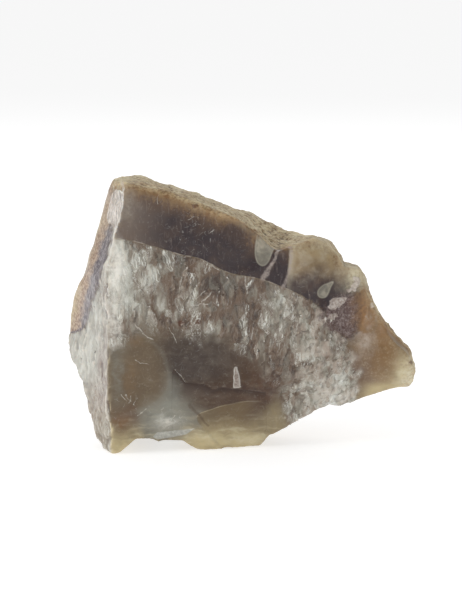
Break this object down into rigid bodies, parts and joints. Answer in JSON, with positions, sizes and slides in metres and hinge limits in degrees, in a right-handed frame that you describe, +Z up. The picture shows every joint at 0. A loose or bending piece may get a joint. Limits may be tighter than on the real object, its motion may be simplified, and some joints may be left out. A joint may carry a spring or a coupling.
{
  "type": "rough agate",
  "caption": "Rough agate broken out of a banded nodule, standing on two low points, with a flat broken face in front and weathered skin on top and behind.",
  "frame": {"origin": "middle of the bounding box on the surface the stone stands on", "axes": "+X to the right across the broken face, +Y from the broken face to the weathered back, +Z up"},
  "size_m": [0.0624, 0.0304, 0.0487],
  "materials": {
    "stone": "waxy grey-brown chalcedony with a dark band, splintery white quartz and a tan weathered skin"
  },
  "bodies": {
    "root": {"agate": "stone"}
  },
  "joints": []
}
